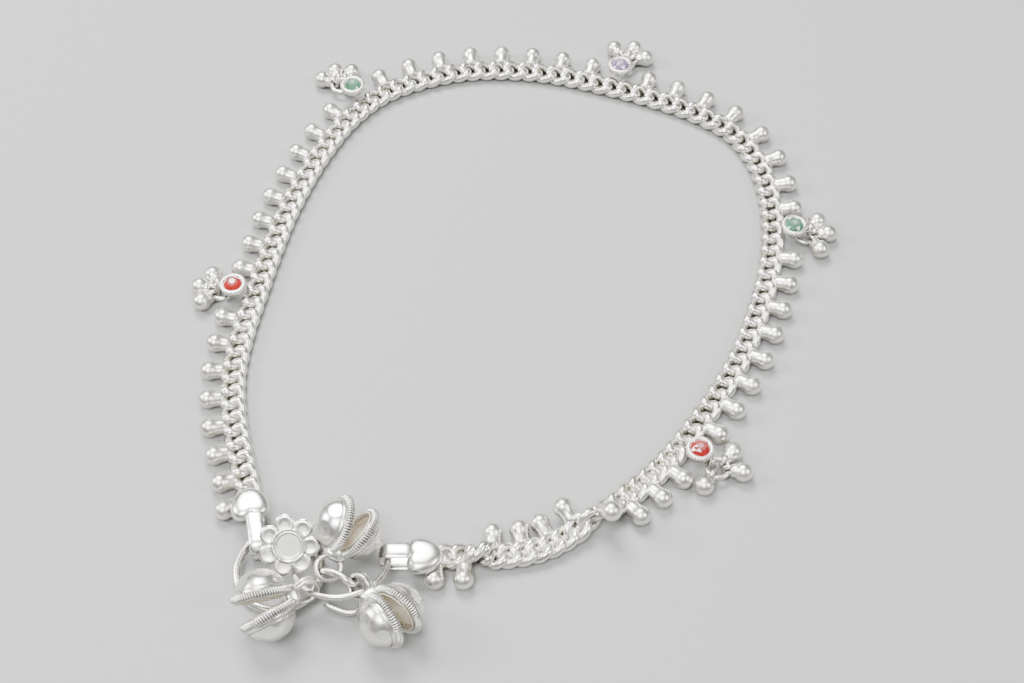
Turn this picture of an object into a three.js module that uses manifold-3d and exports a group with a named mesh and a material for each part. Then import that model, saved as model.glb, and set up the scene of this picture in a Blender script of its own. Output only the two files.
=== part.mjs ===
// Silver anklet: a flat curb chain with ball drops, five stone stations with
// clusters of three drops, heart end plates, a flower clasp and three split bells.
// Millimetres, +Z up. The anklet lies on a surface at z = 0. +Y is away from the viewer.

import * as THREE from 'three';
import { mergeVertices } from 'three/addons/utils/BufferGeometryUtils.js';
import Module from 'manifold-3d';

const wasm = await Module();
wasm.setup();

// Driving dimensions of the chain
const CHAIN_WIDTH = 3.9;
const CHAIN_THICK = 2.2;
const CHAIN_CHAMFER = 0.6;
const CHAIN_STEP = 3.9;
const TWIST_STEP = 0.65;
const NODE_GAP = 0.3;

// Driving dimensions of a ball drop on the chain
const BALL_DIA = 2.8;
const DROP_REACH = 3.4;
const DROP_LENGTH = 3.5;
const DROPS_PER_STRETCH = 9;
const BEAD_SIDES = 10;
const BEAD_ROWS = 5;

// Driving dimensions of a station and its cluster
const BEZEL_DIA = 4.1;
const BEZEL_HEIGHT = 1.2;
const BEZEL_REACH = 3.05;
const BEZEL_LIFT = 2.5;
const STONE_DIA = 3.0;
const STONE_RISE = 0.6;
const TABLE_DIA = 1.7;
const LUG_RING = 0.95;
const LUG_WIRE = 0.22;
const JUMP_RING = 1.5;
const JUMP_WIRE = 0.28;
const NECK_RING = 0.8;
const NECK_WIRE = 0.25;
const CLUSTER_BALL_DIA = 2.8;
const SOLDER_DEPTH = 0.3;

// Driving dimensions of a split bell
const BELL_RIM_DIA = 8.0;
const BELL_CUP_DIA = 7.0;
const BELL_CUP_DEPTH = 3.5;
const BELL_WALL = 0.5;
const BELL_RIM_HEIGHT = 1.25;
const BELL_RIM_GAP = 0.05;
const BELL_SIDES = 12;
const BAIL_DIA = 3.8;
const BAIL_WIDTH = 0.8;
const BAIL_WALL = 0.4;
const BAIL_REACH = 5.85;

// Driving dimensions of the end plates and straps
const HEART_THICK = 1.6;
const HEART_LIFT = 2.5;
const STRAP_HEIGHT = 3.8;
const STRAP_WIDTH = 2.3;
const STRAP_WALL = 0.6;

// The angle at which the loose pieces were looked at, from which their lie is given
const VIEW_ELEVATION = 54;

const SILVER = { color: 0xf1efe8, roughness: 0.28, metalness: 1.0 };
const BRIGHT_SILVER = { color: 0xf4f3ee, roughness: 0.16, metalness: 1.0 };

// The chain's centre line, clockwise from the left end plate
const ROUTE = [
  { x: -35.5, y: -27.9 },
  { x: -36.5, y: -23.3 },
  { x: -37.9, y: -18.6 },
  { x: -39.5, y: -11.5 },
  { x: -40.0, y: -4.4 },
  { x: -39.3, y: 2.7 },
  { x: -38.1, y: 9.4 },
  { x: -36.8, y: 16.4 },
  { x: -35.2, y: 23.6 },
  { x: -33.0, y: 30.8 },
  { x: -30.2, y: 37.8 },
  { x: -26.6, y: 44.4 },
  { x: -21.6, y: 50.0 },
  { x: -14.9, y: 53.6 },
  { x: -7.4, y: 55.6 },
  { x: 0.4, y: 55.8 },
  { x: 8.0, y: 54.6 },
  { x: 15.4, y: 52.3 },
  { x: 22.6, y: 49.6 },
  { x: 29.6, y: 46.2 },
  { x: 35.6, y: 41.5 },
  { x: 39.0, y: 34.8 },
  { x: 40.1, y: 27.3 },
  { x: 39.8, y: 19.6 },
  { x: 38.3, y: 12.0 },
  { x: 36.0, y: 4.8 },
  { x: 33.2, y: -2.2 },
  { x: 29.6, y: -8.8 },
  { x: 25.5, y: -15.0 },
  { x: 20.9, y: -21.0 },
  { x: 15.4, y: -26.2 },
  { x: 9.9, y: -30.4 },
  { x: 3.9, y: -34.0 },
  { x: -2.4, y: -35.2 },
  { x: -7.2, y: -35.2 },
  { x: -11.4, y: -35.2 },
];

// The middle of the box of the whole anklet, which the origin stands under
const BOX_MIDDLE = { x: 0.885, y: 6.24 };

// Where each station sits, as millimetres along the chain, how far out its jump ring lies,
// and the headings of its three drops from straight outward
const STATIONS = [
  { name: 'red_left', along: 36.9, jump: 5.0, headings: [-50, -3, 46] },
  { name: 'green_left', along: 79.7, jump: 6.0, headings: [20, -27, -74] },
  { name: 'violet_top', along: 122.8, jump: 6.2, headings: [48, -8, -58] },
  { name: 'green_right', along: 166.3, jump: 5.0, headings: [58, 10, -50] },
  { name: 'red_right', along: 208.7, jump: 6.2, headings: [86, 26, -90] },
];
const FIRST_DROP_ALONG = 0.4;
const LAST_DROPS = 10;
const LAST_DROP_BACK = 1.2;

// How far the chain is rolled about its own line at drops counted from the last station
const ROLLS = [
  { drop: 0, roll: 0 },
  { drop: 3.2, roll: 0 },
  { drop: 4, roll: 55 },
  { drop: 5, roll: 165 },
  { drop: 5.5, roll: 180 },
  { drop: 8, roll: 178 },
  { drop: 8.5, roll: 90 },
  { drop: 9, roll: 4 },
  { drop: 12, roll: 0 },
];

const radians = THREE.MathUtils.degToRad;

// Unit vectors of the view that the loose pieces' lie is given in: right, up and towards the eye
const VIEW_RIGHT = new THREE.Vector3(1, 0, 0);
const VIEW_UP = new THREE.Vector3(0, Math.sin(radians(VIEW_ELEVATION)), Math.cos(radians(VIEW_ELEVATION)));
const VIEW_EYE = new THREE.Vector3(0, -Math.cos(radians(VIEW_ELEVATION)), Math.sin(radians(VIEW_ELEVATION)));

function viewVector(right, up, eye) {
  const v = new THREE.Vector3();
  v.addScaledVector(VIEW_RIGHT, right);
  v.addScaledVector(VIEW_UP, up);
  v.addScaledVector(VIEW_EYE, eye);
  return v.normalize();
}

// Boolean joins and cuts

function toSolid(geometry) {
  const bare = geometry.clone();
  bare.deleteAttribute('normal');
  bare.deleteAttribute('uv');
  const merged = mergeVertices(bare, 1e-4);
  const vertProperties = new Float32Array(merged.attributes.position.array);
  const triVerts = new Uint32Array(merged.index.array);
  return new wasm.Manifold(new wasm.Mesh({ numProp: 3, vertProperties, triVerts }));
}

function toGeometry(solid) {
  const mesh = solid.getMesh();
  const geometry = new THREE.BufferGeometry();
  geometry.setAttribute('position', new THREE.BufferAttribute(new Float32Array(mesh.vertProperties), 3));
  geometry.setIndex(new THREE.BufferAttribute(new Uint32Array(mesh.triVerts), 1));
  return geometry;
}

function join(geometries) {
  let solid = toSolid(geometries[0]);
  for (const geometry of geometries.slice(1)) solid = solid.add(toSolid(geometry));
  return toGeometry(solid);
}

function piece(name, geometry, look) {
  geometry.computeVertexNormals();
  const mesh = new THREE.Mesh(geometry, new THREE.MeshStandardMaterial(look));
  mesh.name = name;
  return mesh;
}

// The chain's line, with length along it, outward direction and roll

const route = new THREE.CatmullRomCurve3(
  ROUTE.map((p) => new THREE.Vector3(p.x, p.y, 0)),
  false,
  'catmullrom',
  0.5,
);
route.arcLengthDivisions = 1200;
const CHAIN_LENGTH = route.getLength();
const LAST_STATION = STATIONS[STATIONS.length - 1].along;
const LAST_PITCH = (CHAIN_LENGTH - LAST_DROP_BACK - LAST_STATION) / LAST_DROPS;

function rollAt(along) {
  const drop = (along - LAST_STATION) / LAST_PITCH;
  if (drop <= ROLLS[0].drop) return 0;
  let k = 0;
  while (k < ROLLS.length - 2 && drop > ROLLS[k + 1].drop) k += 1;
  const span = ROLLS[k + 1].drop - ROLLS[k].drop;
  const part = Math.min(1, (drop - ROLLS[k].drop) / span);
  return radians(THREE.MathUtils.lerp(ROLLS[k].roll, ROLLS[k + 1].roll, part));
}

// Where the chain is rolled on edge its line rises, so that its low side stays on the floor
function frameAt(along) {
  const u = THREE.MathUtils.clamp(along / CHAIN_LENGTH, 0, 1);
  const point = route.getPointAt(u);
  const ahead = route.getTangentAt(u);
  const roll = rollAt(along);
  const lift = CHAIN_WIDTH * Math.abs(Math.sin(roll)) + CHAIN_THICK * Math.abs(Math.cos(roll));
  point.z = lift / 2;
  const flatOut = new THREE.Vector3(-ahead.y, ahead.x, 0);
  const out = flatOut.clone().multiplyScalar(Math.cos(roll));
  out.z = Math.sin(roll);
  const up = flatOut.clone().multiplyScalar(-Math.sin(roll));
  up.z = Math.cos(roll);
  return { point, ahead, flatOut, out, up };
}

// Steps along the chain, close together where it is rolled over
function chainSteps(from, to) {
  const steps = [from];
  while (steps[steps.length - 1] < to) {
    const last = steps[steps.length - 1];
    const turning = Math.abs(rollAt(last + CHAIN_STEP) - rollAt(last)) > 0.1;
    steps.push(last + (turning ? TWIST_STEP : CHAIN_STEP));
  }
  steps[steps.length - 1] = to;
  return steps;
}

function chainSection() {
  const w = CHAIN_WIDTH / 2;
  const t = CHAIN_THICK / 2;
  const c = CHAIN_CHAMFER;
  const corners = [
    [w, -t + c], [w, t - c], [w - c, t], [-w + c, t],
    [-w, t - c], [-w, -t + c], [-w + c, -t], [w - c, -t],
  ];
  return new THREE.Shape(corners.map(([x, y]) => new THREE.Vector2(x, y)));
}

// The section is drawn out one unit for each step, and each step is then laid on the chain's line
function chainBand(from, to) {
  const stops = chainSteps(from, to);
  const count = stops.length - 1;
  const run = { depth: count, steps: count, bevelEnabled: false };
  const band = new THREE.ExtrudeGeometry(chainSection(), run);
  const places = band.attributes.position;
  const frames = stops.map((along) => frameAt(along));
  for (let i = 0; i < places.count; i += 1) {
    const frame = frames[Math.round(places.getZ(i))];
    const at = frame.point.clone();
    at.addScaledVector(frame.out, places.getX(i));
    at.addScaledVector(frame.up, places.getY(i));
    places.setXYZ(i, at.x, at.y, at.z);
  }
  return band;
}

// One drop: a ball drawn out towards the chain, where its ring hooks into a link
function chainDrop(along) {
  const { point, ahead, out, up } = frameAt(along);
  const drop = new THREE.SphereGeometry(1, BEAD_SIDES, BEAD_ROWS);
  drop.rotateZ(-Math.PI / 2);
  drop.scale(DROP_LENGTH / 2, BALL_DIA / 2, BALL_DIA / 2);
  const turn = new THREE.Matrix4().makeBasis(out, ahead, new THREE.Vector3().crossVectors(out, ahead));
  drop.applyMatrix4(turn);
  const centre = point.clone().addScaledVector(out, DROP_REACH);
  centre.z = Math.max(centre.z, BALL_DIA / 2);
  drop.translate(centre.x, centre.y, centre.z);
  return drop;
}

// Drops stand evenly between the stations, and each station takes the place of one drop
function dropPlaces() {
  const marks = [FIRST_DROP_ALONG, ...STATIONS.map((s) => s.along)];
  const counts = [DROPS_PER_STRETCH - 1, ...STATIONS.slice(1).map(() => DROPS_PER_STRETCH)];
  const places = [FIRST_DROP_ALONG];
  counts.forEach((count, k) => {
    const pitch = (marks[k + 1] - marks[k]) / count;
    for (let i = 1; i < count; i += 1) places.push(marks[k] + i * pitch);
  });
  for (let i = 1; i <= LAST_DROPS; i += 1) places.push(LAST_STATION + i * LAST_PITCH);
  return places;
}

function chainNode(name, from, to, places) {
  const drops = places.filter((s) => s >= from && s <= to).map((s) => chainDrop(s));
  return piece(name, join([chainBand(from, to), ...drops]), SILVER);
}

// Stations: a bezel with its stone, a jump ring through the bezel's lug, and three ball drops

// Turns a geometry's own X, Y and Z to the three given directions and moves it to a place
function lay(geometry, x, y, z, place) {
  geometry.applyMatrix4(new THREE.Matrix4().makeBasis(x, y, z));
  geometry.translate(place.x, place.y, place.z);
  return geometry;
}

const UP = new THREE.Vector3(0, 0, 1);

function lathe(profile, sides) {
  const turned = new THREE.LatheGeometry(profile.map(([r, h]) => new THREE.Vector2(r, h)), sides);
  turned.rotateX(Math.PI / 2);
  return turned;
}

function bezelWithStone() {
  const r = BEZEL_DIA / 2;
  const s = STONE_DIA / 2;
  const h = BEZEL_HEIGHT;
  const profile = [
    [0, 0], [r - 0.35, 0], [r, 0.4], [r, h - 0.15], [r - 0.15, h],
    [s, h - 0.1], [TABLE_DIA / 2, h + STONE_RISE], [0, h + STONE_RISE],
  ];
  return lathe(profile, 12);
}

// A small ring standing on edge, in the plane of the heading and the upright
function edgeRing(radius, wire, heading, place) {
  const ring = new THREE.TorusGeometry(radius, wire, 5, BEAD_SIDES);
  return lay(ring, heading, UP, new THREE.Vector3().crossVectors(heading, UP), place);
}

function stationMeshes(station, number) {
  const { point, flatOut } = frameAt(station.along);
  const bezelPlace = point.clone().addScaledVector(flatOut, BEZEL_REACH).setZ(BEZEL_LIFT);
  const bezel = bezelWithStone().translate(bezelPlace.x, bezelPlace.y, bezelPlace.z);
  const wireHeight = CLUSTER_BALL_DIA / 2;
  const ringPlace = point.clone().addScaledVector(flatOut, station.jump).setZ(wireHeight);
  const lugPlace = ringPlace.clone().addScaledVector(flatOut, -JUMP_RING);
  lugPlace.z = BEZEL_LIFT - LUG_RING;
  const lug = edgeRing(LUG_RING, LUG_WIRE, flatOut, lugPlace);
  const jump = new THREE.TorusGeometry(JUMP_RING, JUMP_WIRE, 5, BEAD_SIDES);
  jump.translate(ringPlace.x, ringPlace.y, ringPlace.z);

  const meshes = [
    piece(`setting_${number}_${station.name}`, join([bezel, lug]), SILVER),
    piece(`jump_ring_${number}`, jump, SILVER),
  ];
  station.headings.forEach((heading, k) => {
    const way = flatOut.clone().applyAxisAngle(UP, radians(heading));
    const neckPlace = ringPlace.clone().addScaledVector(way, JUMP_RING);
    const neck = edgeRing(NECK_RING, NECK_WIRE, way, neckPlace);
    const ballWay = NECK_RING + NECK_WIRE + CLUSTER_BALL_DIA / 2 - SOLDER_DEPTH;
    const ballPlace = neckPlace.clone().addScaledVector(way, ballWay);
    const ball = new THREE.SphereGeometry(CLUSTER_BALL_DIA / 2, BEAD_SIDES, BEAD_ROWS);
    ball.rotateX(Math.PI / 2);
    ball.translate(ballPlace.x, ballPlace.y, ballPlace.z);
    meshes.push(piece(`cluster_drop_${number}_${k + 1}`, join([ball, neck]), SILVER));
  });
  return meshes;
}

// Split bells: two thin cups with milled rims, gaping from a neck that carries a bail

// Where each bell lies: the middle of its bail, its heading from bail to tip in the view and its
// tilt towards the eye, how its cups lean, and the way its bail faces as right, up and to the eye
const BELLS = [
  {
    name: 'bell_top', x: -23.79, y: -38.95, z: 5.08,
    turn: 63.53, dip: -12.57, lean: 22.6, gape: 10.8, facing: [0.3, 0.23, 0.89],
  },
  {
    name: 'bell_left', x: -26.57, y: -41.74, z: 4.3,
    turn: 197.61, dip: 24.98, lean: 8.09, gape: 9.5, facing: [0.44, -0.58, 0.85],
  },
  {
    name: 'bell_right', x: -19.55, y: -41.37, z: 4.71,
    turn: -38.7, dip: 24.16, lean: -36.64, gape: 7.4, facing: [-0.45, -0.19, 0.88],
  },
];

function bellCup() {
  const rim = BELL_RIM_DIA / 2;
  const cup = BELL_CUP_DIA / 2;
  const top = BELL_RIM_HEIGHT;
  const outer = [];
  const inner = [];
  const rows = 3;
  for (let i = 0; i <= rows; i += 1) {
    const a = (i / rows) * (Math.PI / 2);
    outer.push([cup * Math.cos(a), top * 0.5 + BELL_CUP_DEPTH * Math.sin(a)]);
    inner.push([(cup - BELL_WALL) * Math.cos(a), (BELL_CUP_DEPTH - BELL_WALL + top * 0.5) * Math.sin(a)]);
  }
  outer[rows][0] = 0;
  inner[rows][0] = 0;
  const profile = [
    ...inner.slice().reverse(), [rim - 0.35, 0], [rim, 0.3], [rim, top - 0.3], [rim - 0.35, top], ...outer,
  ];
  return lathe(profile, BELL_SIDES);
}

function bellGeometry(bell) {
  const turn = radians(bell.turn);
  const dip = radians(bell.dip);
  const lean = radians(bell.lean);
  const axis = viewVector(Math.cos(turn) * Math.cos(dip), Math.sin(turn) * Math.cos(dip), Math.sin(dip));
  const flat = Math.cos(lean);
  const bulge = viewVector(-Math.sin(turn) * flat, Math.cos(turn) * flat, Math.sin(lean));
  bulge.addScaledVector(axis, -bulge.dot(axis)).normalize();
  const side = new THREE.Vector3().crossVectors(bulge, axis);

  const parts = [];
  for (const face of [1, -1]) {
    const cup = bellCup();
    if (face < 0) cup.rotateX(Math.PI);
    cup.translate(BELL_RIM_DIA / 2, 0, face * BELL_RIM_GAP);
    cup.rotateY(-face * radians(bell.gape));
    cup.translate(-BELL_RIM_DIA / 2, 0, 0);
    parts.push(cup);
  }
  const neck = new THREE.BoxGeometry(1.5, 2.4, 2.6);
  neck.translate(-BELL_RIM_DIA / 2 + 0.35, 0, 0);
  parts.push(neck);
  const bailPlace = new THREE.Vector3(bell.x, bell.y, bell.z);
  const middle = bailPlace.clone().addScaledVector(axis, BAIL_REACH);
  const body = parts.map((g) => lay(g, axis, side, bulge, middle));

  const facing = viewVector(...bell.facing);
  facing.addScaledVector(axis, -facing.dot(axis)).normalize();
  const r = BAIL_DIA / 2;
  const b = BAIL_WIDTH / 2;
  const w = BAIL_WALL;
  const bail = lathe([[r - w, -b], [r, -b], [r, b], [r - w, b], [r - w, -b]], BELL_SIDES);
  lay(bail, axis, new THREE.Vector3().crossVectors(facing, axis), facing, bailPlace);
  return join([...body, bail]);
}

// End plates: a puffed heart over the chain's end, with a strap folded into a loop beyond it.
// The strap starts a little way ahead of the heart's middle and to one side of it.
const END_PLATES = [
  { name: 'heart_plate_left', x: -35.3, y: -28.1, heading: 282, ahead: 0.3, aside: 0.4, strap: 7.6 },
  { name: 'heart_plate_right', x: -11.4, y: -36.1, heading: 180, ahead: 0.7, aside: -0.6, strap: 5.9 },
];

function heartOutline() {
  const heart = new THREE.Shape();
  heart.moveTo(-2.3, 0);
  heart.bezierCurveTo(-2.3, 1.6, -0.6, 2.6, 0.9, 2.6);
  heart.bezierCurveTo(2.3, 2.6, 2.9, 1.2, 2.1, 0);
  heart.bezierCurveTo(2.9, -1.2, 2.3, -2.6, 0.9, -2.6);
  heart.bezierCurveTo(-0.6, -2.6, -2.3, -1.6, -2.3, 0);
  return heart;
}

function endPlate(plate) {
  const bevel = 0.5;
  const heart = new THREE.ExtrudeGeometry(heartOutline(), {
    depth: HEART_THICK - 2 * bevel,
    bevelEnabled: true,
    bevelThickness: bevel,
    bevelSize: bevel,
    bevelOffset: -bevel,
    bevelSegments: 1,
    curveSegments: 3,
  });
  heart.translate(0, 0, bevel + HEART_LIFT);

  const h = STRAP_HEIGHT / 2;
  const outer = new THREE.Shape();
  outer.absarc(h, 0, h, Math.PI / 2, Math.PI * 1.5, false);
  outer.absarc(plate.strap - h, 0, h, -Math.PI / 2, Math.PI / 2, false);
  const inside = new THREE.Path();
  const q = h - STRAP_WALL;
  inside.absarc(h, 0, q, Math.PI / 2, Math.PI * 1.5, false);
  inside.absarc(plate.strap - h, 0, q, -Math.PI / 2, Math.PI / 2, false);
  outer.holes.push(inside);
  const across = { depth: STRAP_WIDTH, bevelEnabled: false, curveSegments: 4 };
  const strap = new THREE.ExtrudeGeometry(outer, across);
  strap.rotateX(Math.PI / 2);
  strap.translate(plate.ahead, plate.aside + STRAP_WIDTH / 2, h);
  const solid = join([heart, strap]);
  solid.rotateZ(radians(plate.heading));
  solid.translate(plate.x, plate.y, 0);
  return solid;
}

// The clasp: a large ring with a flower soldered to it, a second ring and a bent open hook

const CLASP_RING = { x: -30.7, y: -37.3, z: 1.51, radius: 5.6, wire: 0.65, slope: [0.05, 0.15] };
const LINK_RING = { x: -22.46, y: -36.93, z: 2.49, radius: 6.22, wire: 0.42, slope: [0.06, -0.33] };
const HOOK_WIRE = 0.38;
const HOOK_STEPS = 24;
const HOOK = [
  { x: -24.51, y: -41.91, z: 0.9 },
  { x: -22.79, y: -42.7, z: 0.72 },
  { x: -20.97, y: -43.14, z: 0.66 },
  { x: -19.89, y: -42.81, z: 1.03 },
  { x: -19.45, y: -42.15, z: 2.61 },
  { x: -19.59, y: -40.88, z: 3.23 },
  { x: -20.03, y: -40.57, z: 4.42 },
  { x: -20.38, y: -41.12, z: 4.9 },
  { x: -21.25, y: -40.94, z: 5.39 },
  { x: -21.79, y: -40.43, z: 5.51 },
  { x: -23.46, y: -39.63, z: 5.43 },
  { x: -24.66, y: -39.31, z: 4.96 },
  { x: -24.77, y: -39.01, z: 4.11 },
  { x: -24.72, y: -39.32, z: 3.12 },
];
const FLOWER = {
  x: -29.1, y: -35.42, z: 4.87, disc: 2.1, thick: 0.9,
  petals: 7, firstPetal: -2, petalReach: 2.85, petal: 1.25,
  postTurn: 25, postWidth: 1.1,
};

function slopedRing(ring, sides) {
  const facing = new THREE.Vector3(-ring.slope[0], -ring.slope[1], 1).normalize();
  const x = new THREE.Vector3(1, 0, ring.slope[0]).normalize();
  const y = new THREE.Vector3().crossVectors(facing, x);
  return lay(new THREE.TorusGeometry(ring.radius, ring.wire, 6, sides), x, y, facing, ring);
}

function bentHook() {
  const line = new THREE.CatmullRomCurve3(HOOK.map((p) => new THREE.Vector3(p.x, p.y, p.z)));
  const section = new THREE.Shape();
  section.absarc(0, 0, HOOK_WIRE, 0, Math.PI * 2, false);
  return new THREE.ExtrudeGeometry(section, { extrudePath: line, steps: HOOK_STEPS, curveSegments: 3 });
}

// Rounded petals stand round a disc with a raised rim
function flower() {
  const outline = new THREE.Shape();
  const steps = FLOWER.petals * 4;
  for (let i = 0; i < steps; i += 1) {
    const off = ((i % 4) - 2) / (2 * FLOWER.petals) * Math.PI;
    const a = radians(FLOWER.firstPetal) + (i - 2) / steps * Math.PI * 2;
    const across = FLOWER.petalReach * Math.sin(off);
    const r = FLOWER.petalReach * Math.cos(off) + Math.sqrt(FLOWER.petal ** 2 - across ** 2);
    if (i === 0) outline.moveTo(r * Math.cos(a), r * Math.sin(a));
    else outline.lineTo(r * Math.cos(a), r * Math.sin(a));
  }
  const petals = new THREE.ExtrudeGeometry(outline, { depth: FLOWER.thick, bevelEnabled: false });
  const t = FLOWER.thick;
  const d = FLOWER.disc;
  const rim = [[d, 0.2], [d, t + 0.3], [d - 0.35, t + 0.3], [d - 0.35, t + 0.1]];
  const disc = lathe([[0, 0.2], ...rim, [0, t + 0.1]], 16);
  const x = new THREE.Vector3(1, 0, 0);
  return [petals, disc].map((g) => lay(g, x, VIEW_UP, VIEW_EYE, FLOWER));
}

// A post stands on the ring where the flower covers it, and reaches into the flower's back
function flowerPost() {
  const turn = radians(FLOWER.postTurn);
  const east = CLASP_RING.radius * Math.cos(turn);
  const north = CLASP_RING.radius * Math.sin(turn);
  const low = CLASP_RING.z + east * CLASP_RING.slope[0] + north * CLASP_RING.slope[1];
  const backSlope = -VIEW_EYE.y / VIEW_EYE.z;
  const high = FLOWER.z + (CLASP_RING.y + north - FLOWER.y) * backSlope + FLOWER.thick / 2;
  const post = new THREE.CylinderGeometry(FLOWER.postWidth / 2, FLOWER.postWidth / 2, high - low, 6);
  post.rotateX(Math.PI / 2);
  post.translate(CLASP_RING.x + east, CLASP_RING.y + north, (high + low) / 2);
  return post;
}

function claspWithFlower() {
  return join([slopedRing(CLASP_RING, 16), ...flower(), flowerPost()]);
}

// The whole anklet

const group = new THREE.Group();
group.position.set(-BOX_MIDDLE.x, -BOX_MIDDLE.y, 0);

const places = dropPlaces();
const half = (STATIONS[2].along + STATIONS[1].along) / 2 + 22;
group.add(chainNode('curb_chain_left', 0, half - NODE_GAP / 2, places));
group.add(chainNode('curb_chain_right', half + NODE_GAP / 2, CHAIN_LENGTH, places));
STATIONS.forEach((station, k) => group.add(...stationMeshes(station, k + 1)));
BELLS.forEach((bell) => group.add(piece(bell.name, bellGeometry(bell), BRIGHT_SILVER)));
END_PLATES.forEach((plate) => group.add(piece(plate.name, endPlate(plate), BRIGHT_SILVER)));
group.add(piece('flower_clasp_ring', claspWithFlower(), SILVER));
group.add(piece('link_ring', slopedRing(LINK_RING, 16), SILVER));
group.add(piece('clasp_hook', bentHook(), SILVER));

export default group;
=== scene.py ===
"""Looks of a silver anklet that lies in a loop: curb chain with ball drops, five stone
stations, heart end plates, a flower clasp, a hook and three split bells.

Sizes are in millimetres until mesh_piece() turns them to metres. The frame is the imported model's.
"""

import bpy
import numpy as np
from mathutils import Matrix, Vector


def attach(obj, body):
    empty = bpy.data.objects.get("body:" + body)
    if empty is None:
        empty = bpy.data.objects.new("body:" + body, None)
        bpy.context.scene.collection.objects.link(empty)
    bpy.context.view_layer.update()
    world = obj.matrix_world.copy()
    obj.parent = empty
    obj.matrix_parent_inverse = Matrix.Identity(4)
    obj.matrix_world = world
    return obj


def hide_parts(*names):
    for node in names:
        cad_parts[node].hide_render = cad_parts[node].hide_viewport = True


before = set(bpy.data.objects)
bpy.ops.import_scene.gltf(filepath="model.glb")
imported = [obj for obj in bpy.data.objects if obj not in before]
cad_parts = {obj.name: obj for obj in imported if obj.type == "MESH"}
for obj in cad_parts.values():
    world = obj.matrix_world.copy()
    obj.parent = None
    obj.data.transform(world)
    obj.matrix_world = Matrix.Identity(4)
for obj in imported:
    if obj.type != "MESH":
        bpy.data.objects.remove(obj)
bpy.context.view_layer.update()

MM = 0.001
TURN = 2 * np.pi
UP = np.array([0.0, 0.0, 1.0])

# Radius of the small last row that a fan closes where a turned surface has its pole
POLE = 0.02

# Chain and drops
CHAIN_WIDTH = 3.9
CHAIN_THICK = 2.2
LINE_STEPS = 200
LINK_WIRE = 0.67
LINK_HALF_LENGTH = 1.45
LINK_SHEAR = 0.5
LINK_POINT = 1.12
LINK_CLEARANCE = 0.02
LINK_HALF_WIDTH = CHAIN_WIDTH / 2 - LINK_WIRE - LINK_CLEARANCE
LINK_TWIST = CHAIN_THICK / 2 - LINK_WIRE - LINK_CLEARANCE
LINK_ROWS = 36
# Painted shade on the side of each link's wire that looks into the link
LINK_PAINTED_SHADE = 0.85
BALL_RADIUS = 1.4
BALL_TIP = BALL_RADIUS * 0.998
BALL_REACH = 3.5
FIRST_DROP_ALONG = 0.4
DROPS_PER_STRETCH = 9
LAST_DROPS = 10
LAST_DROP_BACK = 1.2

# Necks of the drops: reach of each row from the ball's middle, and its radius
DROP_NECK = [(-2.45, 0.45), (-2.4, 0.9), (-2.2, 1.06), (-1.7, 1.1), (-1.2, 1.12)]
CLUSTER_NECK = [(-1.85, 0.30), (-1.80, 0.70), (-1.6, 0.92), (-1.1, 0.98)]

# Degrees from the neck's side at which the ball of each kind begins, and its rows
DROP_BALL = (58, 12)
CLUSTER_BALL = (46, 13)

# The chain's centre line, clockwise from the left end plate, and the middle of the whole box
ROUTE = np.array([
    (-35.5, -27.9), (-36.5, -23.3), (-37.9, -18.6), (-39.5, -11.5), (-40.0, -4.4), (-39.3, 2.7),
    (-38.1, 9.4), (-36.8, 16.4), (-35.2, 23.6), (-33.0, 30.8), (-30.2, 37.8), (-26.6, 44.4),
    (-21.6, 50.0), (-14.9, 53.6), (-7.4, 55.6), (0.4, 55.8), (8.0, 54.6), (15.4, 52.3),
    (22.6, 49.6), (29.6, 46.2), (35.6, 41.5), (39.0, 34.8), (40.1, 27.3), (39.8, 19.6),
    (38.3, 12.0), (36.0, 4.8), (33.2, -2.2), (29.6, -8.8), (25.5, -15.0), (20.9, -21.0),
    (15.4, -26.2), (9.9, -30.4), (3.9, -34.0), (-2.4, -35.2), (-7.2, -35.2), (-11.4, -35.2),
])
BOX_MIDDLE = np.array([0.885, 6.24, 0.0])

# Each station: name, millimetres along the chain, reach of its jump ring, headings of its drops
# and the slot of its stone
STATIONS = [
    ("1_red_left", 36.9, 5.0, (-50, -3, 46), "red_stone"),
    ("2_green_left", 79.7, 6.0, (20, -27, -74), "green_stone"),
    ("3_violet_top", 122.8, 6.2, (48, -8, -58), "violet_stone"),
    ("4_green_right", 166.3, 5.0, (58, 10, -50), "green_stone"),
    ("5_red_right", 208.7, 6.2, (86, 26, -90), "red_stone"),
]
BEZEL_REACH = 3.05
BEZEL_LIFT = 2.5
LUG_RING = 0.95
LUG_WIRE = 0.22
JUMP_RING = 1.5
JUMP_WIRE = 0.36
NECK_RING = 0.8
NECK_WIRE = 0.32
SOLDER_DEPTH = 0.54

# Where the chain's left half ends, in millimetres along it
HALVES_MEET = 123.25

# Bezel: height and radius of its rows, and the height and radius above which they are notched
BEZEL_PROFILE = [
    (0.0, 0.4), (0.0, 1.55), (0.18, 1.80), (0.45, 1.93), (0.80, 1.95), (0.92, 2.04), (1.05, 2.05),
    (1.20, 1.98), (1.30, 1.82), (1.32, 1.62), (1.28, 1.46), (1.18, 1.36), (0.85, 1.30), (0.55, 0.4),
]
NOTCHED_ABOVE = (0.85, 1.6)
NOTCHES = 30
NOTCH_DEPTH = 0.07
BEZEL_SIDES = 6 * NOTCHES

# Stone: heights of its table and of its back's tip, and how pale the painted highlight makes the table's
# rim and middle
STONE_TABLE = 1.80
STONE_TIP = 0.6
TABLE_PAINTED_HIGHLIGHT = 0.22
MIDDLE_PAINTED_HIGHLIGHT = 0.95

# Roll of the chain about its line, by drops counted from the last station
ROLL_DROPS = [0, 3.2, 4, 5, 5.5, 8, 8.5, 9, 12]
ROLL_DEGREES = [0, 0, 55, 165, 180, 178, 90, 4, 0]

# How much painted shade darkens silver on its underside, and the upright part of a normal where that
# begins
UNDERSIDE_PAINTED_SHADE = 0.85
UNDERSIDE_BELOW = 0.3

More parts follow.
